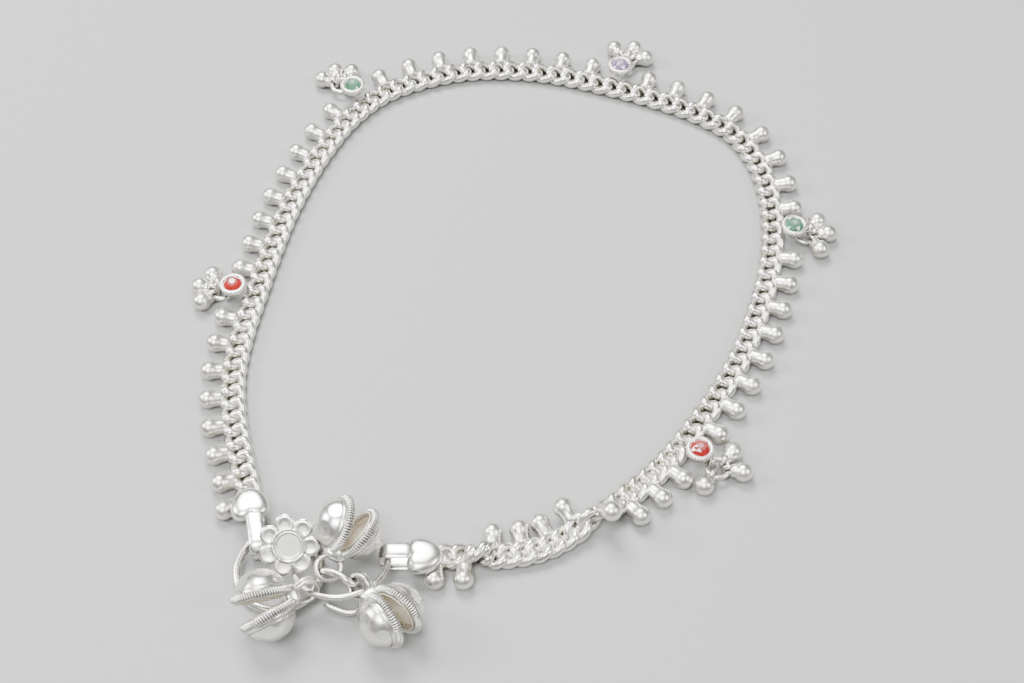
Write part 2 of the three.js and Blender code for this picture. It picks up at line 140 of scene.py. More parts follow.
# Directions of the view that the loose pieces' lie is given in
ELEVATION = np.radians(54)
VIEW_RIGHT = np.array([1.0, 0.0, 0.0])
VIEW_UP = np.array([0.0, np.sin(ELEVATION), np.cos(ELEVATION)])
VIEW_EYE = np.array([0.0, -np.cos(ELEVATION), np.sin(ELEVATION)])

# Each bell: middle of its bail, heading and tilt to the eye, lean and gape of its cups, bail facing
BELLS = [
    ("bell_top", (-23.79, -38.95, 5.08), 63.53, -12.57, 22.6, 10.8, (0.3, 0.23, 0.89)),
    ("bell_left", (-26.57, -41.74, 4.3), 197.61, 24.98, 8.09, 9.5, (0.44, -0.58, 0.85)),
    ("bell_right", (-19.55, -41.37, 4.71), -38.7, 24.16, -36.64, 7.4, (-0.45, -0.19, 0.88)),
]
BELL_RIM_RADIUS = 3.96
BELL_RIM_HEIGHT = 1.25
BELL_RIM_GAP = 0.05
BELL_WALL = 0.5
BELL_CUP_RADIUS = 3.5
BELL_CUP_DEPTH = 3.4
CUP_FOOT = BELL_RIM_HEIGHT / 2
CUP_BASE = 0.12
CUP_FLANGE = 0.1
CUP_INSET = 0.06
CUP_STEP = 0.05
CUP_ROUNDNESS = 0.92
CUP_SIDES = 96
INSIDE_RADIUS = BELL_CUP_RADIUS - BELL_WALL
INSIDE_DEPTH = BELL_CUP_DEPTH - BELL_WALL + CUP_FOOT
BOWL_SKIN = 0.05

# Line cut round a cup: degrees up to it, its width in degrees, depth and painted shade
CUT_RISE = 17
CUT_WIDTH = 1.6
CUT_DEPTH = 0.07
CUT_PAINTED_SHADE = 0.6

# Knocks in a cup: radians round it and degrees up to each, its width and depth
CUP_KNOCKS = [
    (0.5, 35, 1.2, 0.12), (1.7, 58, 1.4, 0.14), (3.0, 28, 1.1, 0.10), (4.1, 50, 1.5, 0.15),
    (5.3, 33, 1.3, 0.12),
]
KNOCK_AIM = np.array([0.0, 0.0, 0.5])
KNOCK_LIFT = 0.6
KNOCK_EDGE = 1.5

# Milled rim of a cup: its teeth, and the depth, slant, narrowness and painted shade of their valleys
RIM_TEETH = 66
ROWS_PER_TOOTH = 8
VALLEY_DEPTH = 0.18
VALLEY_SLANT = 0.9
VALLEY_POWER = 1.2
VALLEY_PAINTED_SHADE = 0.95

# Bail and neck of a bell
BAIL_RADIUS = 1.9
BAIL_WIDTH = 1.15
BAIL_WIRE = 0.3
BAIL_REACH = 5.85
BAIL_ROWS = 64
GROOVE_WIDTH = 0.28
GROOVE_DEPTH = 0.16
# Painted shade in the groove between the bail's two wires
GROOVE_PAINTED_SHADE = 0.8
BELL_NECK_HALVES = (1.05, 1.15, 1.45)
BELL_NECK_POWER = 0.65
BELL_NECK_SINK = 0.2

# Each end plate: place, heading in degrees, start of its strap ahead and aside, strap length
END_PLATES = [
    ("heart_plate_left", (-35.3, -28.1), 282, 0.3, 0.4, 7.6),
    ("heart_plate_right", (-11.4, -36.1), 180, 0.7, -0.6, 5.9),
]
HEART_CURVES = [
    ((-2.3, 0), (-2.3, -1.6), (-0.6, -2.6), (0.9, -2.6)),
    ((0.9, -2.6), (2.3, -2.6), (2.9, -1.2), (2.1, 0)),
    ((2.1, 0), (2.9, 1.2), (2.3, 2.6), (0.9, 2.6)),
    ((0.9, 2.6), (-0.6, 2.6), (-2.3, 1.6), (-2.3, 0)),
]
HEART_MIDDLE = np.array([0.4, 0.0])
HEART_THICK = 1.6
HEART_BELOW_EDGE = 0.35
HEART_LIFT = 2.5
STRAP_HEIGHT = 3.8
STRAP_WIDTH = 2.3
STRAP_WALL = 0.6
STRAP_INNER_SHARE = 0.6
STRAP_TURN_ROWS = 20

# The clasp's rings: middle, radius, wire, and slopes of the plane to the right and away
CLASP_RING = ((-30.7, -37.3, 1.51), 5.6, 0.63, (0.05, 0.15))
LINK_RING = ((-22.46, -36.93, 2.49), 6.22, 0.42, (0.06, -0.33))
HOOK_WIRE = 0.46
HOOK = np.array([
    (-24.51, -41.91, 0.9), (-22.79, -42.7, 0.72), (-20.97, -43.14, 0.66), (-19.89, -42.81, 1.03),
    (-19.45, -42.15, 2.61), (-19.59, -40.88, 3.23), (-20.03, -40.57, 4.42), (-20.38, -41.12, 4.9),
    (-21.25, -40.94, 5.39), (-21.79, -40.43, 5.51), (-23.46, -39.63, 5.43), (-24.66, -39.31, 4.96),
    (-24.77, -39.01, 4.11), (-24.72, -39.32, 3.12),
])
HOOK_FACING = np.array([0.2, 0.1, 0.97])
HOOK_END_ROWS = 3
HOOK_END_START = 0.3

# The flower on the clasp ring
FLOWER_PLACE = np.array([-29.1, -35.42, 4.87])
FLOWER_SIDES = 224
FLOWER_THICK = 0.9
FLOWER_TOP = FLOWER_THICK - 0.12
FLOWER_BACK_RISE = 0.3
FLOWER_DISC = 2.1
FLOWER_PLATE = FLOWER_DISC + 0.05
FLOWER_PETALS = 7
FIRST_PETAL = np.radians(-2)
PETAL_REACH = 2.8
PETAL_RADIUS = 1.32
PETAL_DOME = 0.2
DIMPLE_WIDTH = 0.6
DIMPLE_DEPTH = 0.13
FLOWER_POST_TURN = np.radians(25)
FLOWER_POST_RADIUS = 0.55
FLOWER_POST_FOOT = 1.2

# Raised rims of its disc by radius, width and height, grooves by radius and width, the radius of
# the bare disc inside them, and how much painted shade darkens disc, dimples and grooves
FLOWER_RIMS = [(2.05, 0.14, 0.30), (1.72, 0.08, 0.16)]
FLOWER_GROOVES = [(1.87, 0.06), (FLOWER_DISC + 0.22, 0.07)]
BARE_DISC = 1.66
FLOWER_PAINTED_SHADE = 0.22
FLOWER_GROOVE_PAINTED_SHADE = 0.5

# The camera of the photograph
LOOK_AT = np.array([0.0, 0.0, 1.35])
CAMERA_AWAY = 233.0
LENS = 56.25

# Lamps: name, place, size and watts; and the floor and the world round them
LAMPS = [
    ("light_top", (-0.12, 0.30, 0.55), 0.30, 9.0),
    ("light_left", (-0.55, 0.05, 0.40), 0.22, 5.0),
    ("light_right", (0.50, -0.20, 0.50), 0.22, 3.0),
    ("light_front", (-0.10, -0.24, 0.52), 0.22, 4.0),
]
FLOOR_SIZE = 8.0
FLOOR_TONE = (0.33, 0.33, 0.327)
WORLD_STRENGTH = 0.32


def unit(v):
    """Each vector divided by its length."""
    v = np.asarray(v, float)
    return v / np.linalg.norm(v, axis=-1, keepdims=True)


def view_vector(right, up, eye):
    """A direction given as right, up and towards the eye."""
    return unit(right * VIEW_RIGHT + up * VIEW_UP + eye * VIEW_EYE)


def square_to(v, axis):
    """The part of v that stands square to a unit axis, made one long."""
    return unit(v - axis * np.sum(v * axis, axis=-1, keepdims=True))


def signed_power(v, power):
    """A value raised to a power, with its sign kept."""
    return np.sign(v) * np.abs(v) ** power


def swell(v, middle, width):
    """A bell curve: one at its middle, and almost nothing two widths away."""
    return np.exp(-(((v - middle) / width) ** 2))


def rounded_line(points, steps, even):
    """Catmull-Rom line through the points, with half the chord between neighbours as its slope.

    With even false, the slopes allow for uneven spacing by the square root of each chord.
    """
    ends = np.vstack([2 * points[0] - points[1], points, 2 * points[-1] - points[-2]])
    a, b, c, d = ends[:-3], ends[1:-2], ends[2:-1], ends[3:]
    if even:
        start = (c - a) / 2
        stop = (d - b) / 2
    else:
        pairs = ((a, b), (b, c), (c, d))
        ab, bc, cd = [np.sqrt(np.linalg.norm(q - p, axis=1))[:, None] for p, q in pairs]
        start = ((b - a) / ab - (c - a) / (ab + bc) + (c - b) / bc) * bc
        stop = ((c - b) / bc - (d - b) / (bc + cd) + (d - c) / cd) * bc
    t = np.linspace(0, 1, steps, endpoint=False)[None, :, None]
    b, c, start, stop = [p[:, None] for p in (b, c, start, stop)]
    line = b + start * t + (3 * (c - b) - 2 * start - stop) * t**2 + (2 * (b - c) + start + stop) * t**3
    return np.vstack([line.reshape(-1, points.shape[1]), points[-1]])


def grid_faces(rows, sides, closed_rows):
    """Quads of a grid that wraps round its sides, and round its rows when they are closed."""
    last = rows if closed_rows else rows - 1
    r, s = np.meshgrid(np.arange(last), np.arange(sides), indexing="ij")
    nr, ns = (r + 1) % rows, (s + 1) % sides
    return np.stack([r * sides + s, r * sides + ns, nr * sides + ns, nr * sides + s], -1).reshape(-1, 4)


def end_fans(first, middles, size, sides):
    """Triangles that close the first and last rows of each copy round their middles.

    First is where each copy's points begin and middles is where the middles of the rows begin.
    """
    copies = len(first)
    s = np.arange(sides)
    ns = (s + 1) % sides
    low = np.broadcast_to(middles + np.arange(copies)[:, None], (copies, sides))
    high = low + copies
    top = first + size - sides
    foot = np.stack([low, first + ns, first + s], -1)
    head = np.stack([high, top + s, top + ns], -1)
    return [foot.reshape(-1, 3), head.reshape(-1, 3)]


def faces_inwards(verts, quads, tris):
    """Whether the volume that the faces close comes out negative."""
    a, b, c, d = [verts[quads[:, k]] for k in range(4)]
    e, f, g = [verts[tris[:, k]] for k in range(3)]
    volume = np.sum(a * np.cross(b, c)) + np.sum(a * np.cross(c, d)) + np.sum(e * np.cross(f, g))
    return volume < 0


def skin(name, grids, material, node, closed_rows=False, painted_shade=None):
    """One piece from grids of points in millimetres, each (copies, rows, sides, 3).

    A grid wraps round its sides. Its first and last rows are closed with a fan to their middle,
    or joined to each other when closed_rows is true. The last argument gives a grid of painted
    shade for each grid, from 0 where none is painted to 1 where it is darkest. Faces that look down
    get painted shade as well.
    """
    points = []
    quads = []
    fans = [np.zeros((0, 3), int)]
    base = 0
    for grid in grids:
        copies, rows, sides, _ = grid.shape
        size = rows * sides
        first = base + np.arange(copies)[:, None] * size
        quads.append((first[:, :, None] + grid_faces(rows, sides, closed_rows)).reshape(-1, 4))
        points.append(grid.reshape(-1, 3))
        base += copies * size
        if not closed_rows:
            fans += end_fans(first, base, size, sides)
            points.append(np.concatenate([grid[:, 0].mean(1), grid[:, -1].mean(1)]))
            base += 2 * copies
    verts = np.concatenate(points) - BOX_MIDDLE
    quads = np.concatenate(quads)
    tris = np.concatenate(fans)
    if faces_inwards(verts, quads, tris):
        quads = quads[:, ::-1]
        tris = tris[:, ::-1]
    if painted_shade is None:
        painted_shade = [np.zeros(grid.shape[:3]) for grid in grids]
    ends = 0 if closed_rows else 2
    hollow = [np.append(w.ravel(), np.zeros(ends * len(grid))) for w, grid in zip(painted_shade, grids)]
    faces = quads.tolist() + tris.tolist()
    mesh_piece(name, verts, faces, material, node, np.concatenate(hollow), UNDERSIDE_PAINTED_SHADE)


def mesh_piece(name, verts, faces, material, node, hollow, underside=0.0, smooth=True):
    """A mesh object that stands for a CAD node and rides on the anklet's one body.

    The hollow values give the painted shade on silver, and the painted highlight on glass, at each
    point. Where the surface faces down, they rise by the underside's share, as painted shade.
    """
    mesh = bpy.data.meshes.new(name)
    mesh.from_pydata((verts * MM).tolist(), [], faces)
    normals = np.empty(3 * len(verts), np.float32)
    mesh.vertex_normals.foreach_get("vector", normals)
    # Painted shade on faces that look down
    down = np.clip(UNDERSIDE_BELOW - normals[2::3], 0, 1)
    hollow = np.clip(hollow + underside * down, 0, 1)
    mesh.polygons.foreach_set("use_smooth", np.full(len(faces), smooth))
    mesh.attributes.new("hollow", "FLOAT", "POINT").data.foreach_set("value", hollow.astype(np.float32))
    mesh.materials.append(material)
    mesh.update()
    obj = bpy.data.objects.new(name, mesh)
    bpy.context.scene.collection.objects.link(obj)
    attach(obj, "root")
    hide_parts(*node)


def tube(centres, reference, radius, sides):
    """Tubes round closed lines, each (copies, rows, 3): a circle square to the line at each point."""
    ahead = unit(np.roll(centres, -1, axis=1) - np.roll(centres, 1, axis=1))
    across = square_to(np.broadcast_to(reference, centres.shape), ahead)
    third = np.cross(ahead, across)
    a = np.arange(sides) / sides * TURN
    circle = np.cos(a)[:, None] * across[:, :, None] + np.sin(a)[:, None] * third[:, :, None]
    return centres[:, :, None] + radius * circle


def ring(middle, x, y, radius, wire, rows, sides):
    """Round rings: a circle of wire in the plane of x and y."""
    middle, x, y = [np.atleast_2d(v) for v in (middle, x, y)]
    a = (np.arange(rows) / rows * TURN)[None, :, None]
    line = middle[:, None] + radius * (np.cos(a) * x[:, None] + np.sin(a) * y[:, None])
    return tube(line, np.cross(x, y)[:, None], wire, sides)


def turned(profile, place, axis, sides, radius_of=None):
    """Turned shapes: each profile row gives a reach along the axis and a radius round it.

    Radius_of may change the radius by the angle round the axis.
    """
    place, axis = np.atleast_2d(place), np.atleast_2d(axis)
    reach, radius = np.asarray(profile, float).T
    lean = np.where(np.abs(axis[:, 2:]) > 0.9, VIEW_RIGHT, UP)
    x = square_to(lean, axis)
    y = np.cross(axis, x)
    a = np.arange(sides) / sides * TURN
    r = radius[:, None] * np.ones(sides) if radius_of is None else radius_of(radius[:, None], a)
    flat = np.cos(a)[:, None] * x[:, None, None] + np.sin(a)[:, None] * y[:, None, None]
    return place[:, None, None] + reach[:, None, None] * axis[:, None, None] + r[..., None] * flat


# Materials: stains, gloss and dents of silver, and its painted shade colour and roughness where the
# hollow value is high

STAIN_TINT = (0.86, 0.84, 0.78)
STAIN_SCALE = 260
GLOSS_SCALE = 900
DENT_STRENGTH = 0.35
# Dark colour of the painted shade, and the duller roughness, where the hollow value is high
PAINTED_SHADE_COLOR = (0.07, 0.06, 0.045, 1)
HOLLOW_ROUGHNESS = 0.6


def shader(name, color, roughness, metallic, **sockets):
    """A Principled material with its steady values set on its own sockets."""
    mat = bpy.data.materials.new(name)
    mat.use_nodes = True
    bsdf = mat.node_tree.nodes["Principled BSDF"]
    bsdf.inputs["Base Color"].default_value = (*color, 1)
    bsdf.inputs["Roughness"].default_value = roughness
    bsdf.inputs["Metallic"].default_value = metallic
    for key, value in sockets.items():
        bsdf.inputs[key.replace("_", " ")].default_value = value
    return mat


def noise(mat, scale, detail, roughness):
    """Noise on Object coordinates, with its scale in lumps per metre."""
    nodes = mat.node_tree.nodes
    place = nodes.new("ShaderNodeTexCoord")
    lumps = nodes.new("ShaderNodeTexNoise")
    lumps.inputs["Scale"].default_value = scale
    lumps.inputs["Detail"].default_value = detail
    lumps.inputs["Roughness"].default_value = roughness
    mat.node_tree.links.new(place.outputs["Object"], lumps.inputs["Vector"])
    return lumps.outputs["Fac"]


def ramp(mat, source, stops, socket):
    """Sends a value through a colour ramp into one of the shader's sockets."""
    nodes, links = mat.node_tree.nodes, mat.node_tree.links
    band = nodes.new("ShaderNodeValToRGB")
    band.color_ramp.elements[0].position = stops[0][0]
    band.color_ramp.elements[0].color = (*stops[0][1], 1)
    band.color_ramp.elements[1].position = stops[-1][0]
    band.color_ramp.elements[1].color = (*stops[-1][1], 1)
    for position, color in stops[1:-1]:
        band.color_ramp.elements.new(position).color = (*color, 1)
    links.new(source, band.inputs["Fac"])
    links.new(band.outputs["Color"], nodes["Principled BSDF"].inputs[socket])


def dents(mat, source, strength, depth):
    """Shallow bumps of a depth in metres."""
    nodes, links = mat.node_tree.nodes, mat.node_tree.links
    bump = nodes.new("ShaderNodeBump")
    bump.inputs["Strength"].default_value = strength
    bump.inputs["Distance"].default_value = depth
    links.new(source, bump.inputs["Height"])
    links.new(bump.outputs["Normal"], nodes["Principled BSDF"].inputs["Normal"])


def grey(value):
    """The same value in red, green and blue."""
    return (value, value, value)


def blend_by_hollow(mat, socket, value):
    """Blends what feeds a socket towards another value where a piece's hollow value is high."""
    nodes, links = mat.node_tree.nodes, mat.node_tree.links
    target = nodes["Principled BSDF"].inputs[socket]
    hollow = nodes.new("ShaderNodeAttribute")
    hollow.attribute_name = "hollow"
    mix = nodes.new("ShaderNodeMix")
    mix.data_type = "RGBA"
    factor, first, second = mix.inputs[0], mix.inputs[6], mix.inputs[7]
    links.new(hollow.outputs["Fac"], factor)
    links.new(target.links[0].from_socket, first)
    second.default_value = value
    links.new(mix.outputs[2], target)


def silver(name, bright, low, high, lump, dent):
    """Worn silver: its colour goes between white and a little tarnish, its roughness from low to high.

    Dents come in lumps per metre and are as deep as dent, in metres. Where the hollow value is high,
    the colour is darkened with painted shade and the surface is duller.
    """
    mat = shader(name, bright, (low + high) / 2, 1.0)
    stain = tuple(c * t for c, t in zip(bright, STAIN_TINT))
    ramp(mat, noise(mat, STAIN_SCALE, 5, 0.6), [(0.30, stain), (0.55, bright)], "Base Color")
    ramp(mat, noise(mat, GLOSS_SCALE, 3, 0.5), [(0.30, grey(low)), (0.70, grey(high))], "Roughness")
    dents(mat, noise(mat, lump, 2, 0.5), DENT_STRENGTH, dent)
    blend_by_hollow(mat, "Base Color", PAINTED_SHADE_COLOR)
    blend_by_hollow(mat, "Roughness", (*grey(HOLLOW_ROUGHNESS), 1))
    return mat


CHAIN_SILVER = silver("chain_silver", (0.86, 0.84, 0.785), 0.22, 0.40, 700, 0.00006)
BALL_SILVER = silver("ball_silver", (0.87, 0.85, 0.80), 0.26, 0.40, 500, 0.00005)
POLISHED_SILVER = silver("polished_silver", (0.90, 0.885, 0.85), 0.22, 0.34, 330, 0.00005)
RING_SILVER = silver("ring_silver", (0.84, 0.815, 0.755), 0.22, 0.36, 600, 0.00004)
MILLED_SILVER = silver("milled_silver", (0.84, 0.825, 0.79), 0.22, 0.36, 900, 0.00002)

BOWL_SILVER = shader("bowl_silver", (0.86, 0.80, 0.66), 0.6, 0.25)
BOWL_TONES = [(0.3, (0.66, 0.58, 0.42)), (0.7, (0.90, 0.85, 0.72))]
ramp(BOWL_SILVER, noise(BOWL_SILVER, 420, 5, 0.6), BOWL_TONES, "Base Color")
dents(BOWL_SILVER, noise(BOWL_SILVER, 1500, 4, 0.6), 0.5, 0.00008)


def cut_glass(name, deep, light):
    """Coloured cut glass with a clear coat, in deep and light lumps, and a painted highlight by its
    hollow value.
    """
    mat = shader(name, deep, 0.04, 0.0, Transmission_Weight=0.25, IOR=1.6, Coat_Weight=1.0,
                 Coat_Roughness=0.02)
    ramp(mat, noise(mat, 700, 2, 0.5), [(0.35, deep), (0.75, light)], "Base Color")
    # Colour of the painted highlight, blended in where the hollow value is high
    pale = tuple(0.45 + 0.5 * c for c in light)
    blend_by_hollow(mat, "Base Color", (*pale, 1))
    return mat


STONES = {
    "red_stone": cut_glass("red_glass", (0.25, 0.004, 0.004), (0.46, 0.016, 0.013)),
    "green_stone": cut_glass("green_glass", (0.035, 0.13, 0.07), (0.10, 0.27, 0.16)),
    "violet_stone": cut_glass("violet_glass", (0.17, 0.10, 0.23), (0.34, 0.25, 0.42)),
}


# The chain's line

LINE = rounded_line(ROUTE, LINE_STEPS, True)
LINE_ALONG = np.concatenate([[0], np.cumsum(np.linalg.norm(np.diff(LINE, axis=0), axis=1))])
CHAIN_LENGTH = LINE_ALONG[-1]
MARKS = [FIRST_DROP_ALONG] + [station[1] for station in STATIONS]
LAST_PITCH = (CHAIN_LENGTH - LAST_DROP_BACK - MARKS[-1]) / LAST_DROPS


def roll_at(along):
    """How far the chain has rolled about its line, in radians."""
    return np.radians(np.interp((along - MARKS[-1]) / LAST_PITCH, ROLL_DROPS, ROLL_DEGREES))


def chain_frame(along):
    """Point, ahead, out and up of the chain at each length along it.

    The point goes on straight past either end. Roll turns out and up about the line, and the
    line's height is half of what the rolled section is tall, so that it lies on the surface.
    """
    s = np.clip(along, 0, CHAIN_LENGTH)
    step = 0.15
    at = [np.interp(s, LINE_ALONG, LINE[:, k]) for k in (0, 1)]
    fore = [np.interp(np.clip(s + step, 0, CHAIN_LENGTH), LINE_ALONG, LINE[:, k]) for k in (0, 1)]
    back = [np.interp(np.clip(s - step, 0, CHAIN_LENGTH), LINE_ALONG, LINE[:, k]) for k in (0, 1)]
    ahead = unit(np.stack([fore[0] - back[0], fore[1] - back[1], 0 * s], -1))
    roll = roll_at(s)[..., None]
    flat_out = np.stack([-ahead[..., 1], ahead[..., 0], 0 * s], -1)
    out = flat_out * np.cos(roll) + UP * np.sin(roll)
    up = -flat_out * np.sin(roll) + UP * np.cos(roll)
    lift = CHAIN_WIDTH * np.abs(np.sin(roll)) + CHAIN_THICK * np.abs(np.cos(roll))
    point = np.stack([at[0], at[1], 0 * s], -1) + ahead * (along - s)[..., None] + UP * lift / 2
    return point, ahead, out, up


def drop_places():
    """Lengths along the chain of its drops, and of drops and stations together."""
    places = []
    everything = []
    for k, (start, stop) in enumerate(zip(MARKS[:-1], MARKS[1:])):
        count = DROPS_PER_STRETCH - (k == 0)
        spots = np.linspace(start, stop, count, endpoint=False)
        everything += list(spots)
        places += list(spots[(k > 0):])
    last = MARKS[-1] + LAST_PITCH * np.arange(1, LAST_DROPS + 1)
    return np.array(places + list(last)), np.array(everything + [MARKS[-1]] + list(last))


DROPS, HOOKED = drop_places()


def curb_links(middles):
    """Curb links, and their painted shade: slanting ovals of wire with quarters raised and lowered.

    Along is a cos t to a power, less k sin t. Out is b sin t and up is minus c sin 2t, on the
    chain's line at the link's middle. The slant k goes to none where the chain lies rolled over.
    The side of the wire that looks into the link is darkened with painted shade.
    """
    t = np.arange(LINK_ROWS) / LINK_ROWS * TURN
    slant = LINK_SHEAR * np.cos(roll_at(middles) / 2)[:, None]
    pointed = signed_power(np.cos(t), LINK_POINT)
    along = middles[:, None] + LINK_HALF_LENGTH * pointed - slant * np.sin(t)
    point, _, out, up = chain_frame(along)
    aside = (LINK_HALF_WIDTH * np.sin(t))[:, None]
    twist = (LINK_TWIST * np.sin(2 * t))[:, None]
    line = point + out * aside - up * twist
    wires = tube(line, up, LINK_WIRE, 10)
    inwards = unit(line.mean(1, keepdims=True) - line)
    sunk = np.sum((wires - line[:, :, None]) * inwards[:, :, None], -1) / LINK_WIRE
    return wires, LINK_PAINTED_SHADE * np.clip(sunk * 1.5 - 0.5, 0, 1)


def drop_profile(neck, start, rows):
    """Profile of a drop: its neck's rows, then a ball from an angle off its near pole to the far one."""
    a = np.linspace(np.radians(start), np.pi, rows)[:-1]
    ball = list(zip(-BALL_RADIUS * np.cos(a), BALL_RADIUS * np.sin(a)))
    return neck + ball + [(BALL_TIP, POLE)]


def drop_shapes(places):
    """Ball drops: each a ball on a stout round neck that is soldered to the chain's edge."""
    point, _, out, _ = chain_frame(places)
    ball = point + out * BALL_REACH
    ball[:, 2] = np.maximum(ball[:, 2], BALL_RADIUS)
    return turned(drop_profile(DROP_NECK, *DROP_BALL), ball, unit(ball - point), 20)


def chain_pieces():
    """Links and drops of the chain's two halves, each standing for its own node."""
    between = (HOOKED[:-1] + HOOKED[1:]) / 2
    middles = np.sort(np.concatenate([HOOKED, between]))
    halves = (("left", middles < HALVES_MEET, DROPS < HALVES_MEET),
              ("right", middles >= HALVES_MEET, DROPS >= HALVES_MEET))
    for side, own_links, own_drops in halves:
        node = [f"curb_chain_{side}"]
        wires, sunk = curb_links(middles[own_links])
        skin(f"links_{side}", [wires], CHAIN_SILVER, node, True, [sunk])
        skin(f"ball_drops_{side}", [drop_shapes(DROPS[own_drops])], BALL_SILVER, node)


chain_pieces()


# Stations


def turn_about_up(v, degrees):
    """A flat direction turned about the upright."""
    a = np.radians(degrees)
    return np.array([v[0] * np.cos(a) - v[1] * np.sin(a), v[0] * np.sin(a) + v[1] * np.cos(a), 0.0])


def bezel(place):
    """Bezel: a turned cup whose top edge is notched all round like a milled coin."""
    low, slim = NOTCHED_ABOVE
    edge = np.array([height > low and radius > slim for height, radius in BEZEL_PROFILE])[:, None]

    def notched(radius, a):
        return radius + edge * NOTCH_DEPTH * (np.cos(NOTCHES * a) - 1)

    return turned(BEZEL_PROFILE, place, UP, BEZEL_SIDES, notched)


def cut_stone(place):
    """Round cut stone, and its painted highlight at each point: a table, crown facets, a girdle and a low
    back.
    """
    eight = np.arange(8) / 8 * TURN
    sixteen = np.arange(16) / 16 * TURN
    rings = [
        (0.48, STONE_TABLE, eight + TURN / 16), (0.98, 1.60, eight),
        (1.47, 1.12, sixteen), (1.47, 1.00, sixteen),
    ]
    points = [np.stack([r * np.cos(a), r * np.sin(a), np.full(len(a), z)], -1) for r, z, a in rings]
    points.append(np.array([[0, 0, STONE_TIP], [0, 0, STONE_TABLE]]))
    verts = np.concatenate(points) + place
    table, crown, girdle, belt, tip, top = 0, 8, 16, 32, 48, 49
    k = np.arange(8)
    n = (k + 1) % 8
    left, mid, right = girdle + (2 * k - 1) % 16, girdle + 2 * k, girdle + (2 * k + 1) % 16
    s = np.arange(16)
    ns = (s + 1) % 16
    faces = np.concatenate([
        np.stack([np.full(8, top), table + k, table + n], -1),
        np.stack([table + k, crown + k, crown + n], -1),
        np.stack([table + k, crown + n, table + n], -1),
        np.stack([crown + k, mid, right], -1),
        np.stack([crown + k, left, mid], -1),
        np.stack([crown + k, right, crown + n], -1),
        np.stack([girdle + s, belt + s, belt + ns], -1),
        np.stack([girdle + s, belt + ns, girdle + ns], -1),
        np.stack([np.full(16, tip), belt + ns, belt + s], -1),
    ])
    # Painted highlight: the table's rim and middle are made paler
    pale = np.zeros(len(verts))
    pale[table:crown] = TABLE_PAINTED_HIGHLIGHT
    pale[top] = MIDDLE_PAINTED_HIGHLIGHT
    return verts, faces, pale


def station_pieces(number, name, along, jump, headings, stone):
    """A station: bezel with lug, cut stone, jump ring and three drops with short necks."""
    point, _, out, _ = chain_frame(np.array([along]))
    point, out = point[0], out[0]
    seat = point + out * BEZEL_REACH
    seat[2] = BEZEL_LIFT
    middle = point + out * jump
    middle[2] = BALL_RADIUS
    lug = middle - out * JUMP_RING
    lug[2] = BEZEL_LIFT - LUG_RING
    setting = [f"setting_{name}"]
    skin(f"bezel_{number}", [bezel(seat)], MILLED_SILVER, setting)
    lug_wire = ring(lug, out, UP, LUG_RING, LUG_WIRE, 24, 10)
    skin(f"lug_{number}", [lug_wire], RING_SILVER, setting, True)
    verts, faces, pale = cut_stone(seat)
    verts = verts - BOX_MIDDLE
    mesh_piece(f"stone_{number}", verts, faces.tolist(), STONES[stone], setting, pale, smooth=False)
    jump_wire = ring(middle, out, unit(np.cross(out, UP)), JUMP_RING, JUMP_WIRE, 36, 10)
    skin(f"jump_{number}", [jump_wire], RING_SILVER, [f"jump_ring_{number}"], True)
    profile = drop_profile(CLUSTER_NECK, *CLUSTER_BALL)
    for k, heading in enumerate(headings, 1):
        way = turn_about_up(out, heading)
        neck = middle + way * JUMP_RING
        ball = turned(profile, neck + way * (NECK_RING + NECK_WIRE + BALL_RADIUS - SOLDER_DEPTH), way, 18)
        neck_wire = ring(neck, way, UP, NECK_RING, NECK_WIRE, 20, 8)
        node = [f"cluster_drop_{number}_{k}"]
        skin(f"cluster_ball_{number}_{k}", [ball], BALL_SILVER, node)
        skin(f"cluster_neck_{number}_{k}", [neck_wire], RING_SILVER, node, True)


for index, station in enumerate(STATIONS, 1):
    station_pieces(index, *station)


# Bells


def on_axes(grid, place, x, y, z):
    """Moves a grid from its own axes to the given ones."""
    return place + grid[..., :1] * x + grid[..., 1:2] * y + grid[..., 2:] * z


def tilt_cup(grid, face, gape):
    """Turns a cup that opens on the plane z = 0 about the hinge at its back, by the gape."""
    grid = grid * np.array([1.0, face, face])
    a = np.radians(-face * gape)
    x = grid[..., 0] + BELL_RIM_RADIUS
    z = grid[..., 2] + face * BELL_RIM_GAP
    level = x * np.cos(a) + z * np.sin(a) - BELL_RIM_RADIUS
    return np.stack([level, grid[..., 1], z * np.cos(a) - x * np.sin(a)], -1)


def own_turned(profile, sides):
    """A turned shape round the z axis at the origin: rows of height and radius."""
    height, radius = np.asarray(profile, float).T[:, :, None]
    a = np.arange(sides) / sides * TURN
    return np.stack([radius * np.cos(a), radius * np.sin(a), height * np.ones(sides)], -1)


def cup_dome():
    """The cup's wall, and its painted shade: from the inside's crown to the rim and out to the crown.

    The outside is an oval with a raised foot. A fine cut line runs round it above the rim, in painted
    shade.
    """
    a = np.linspace(0, np.pi / 2, 60)[:-1]
    above = np.degrees(a) - CUT_RISE
    cut = swell(above, 0, CUT_WIDTH)
    step = CUP_STEP / (1 + np.exp(above * 1.5))
    wide = BELL_CUP_RADIUS * np.cos(a) ** CUP_ROUNDNESS - CUP_INSET + step - CUT_DEPTH * cut
    outside = np.stack([CUP_FOOT + BELL_CUP_DEPTH * np.sin(a), wide], -1)
    b = a[::3]
    inside = np.stack([INSIDE_DEPTH * np.sin(b), INSIDE_RADIUS * np.cos(b)], -1)[::-1]
    base = [(CUP_BASE, INSIDE_RADIUS), (CUP_BASE, BELL_CUP_RADIUS + CUP_FLANGE)]
    profile = [(INSIDE_DEPTH, POLE), *inside, *base, *outside, (CUP_FOOT + BELL_CUP_DEPTH, POLE)]
    first_outside = len(inside) + 3
    hollow = np.concatenate([np.zeros(first_outside), CUT_PAINTED_SHADE * cut, [0.0]])
    grid = own_turned(profile, CUP_SIDES)
    grid[first_outside:] = knocked(grid[first_outside:])
    return grid, hollow[:, None] * np.ones(CUP_SIDES)


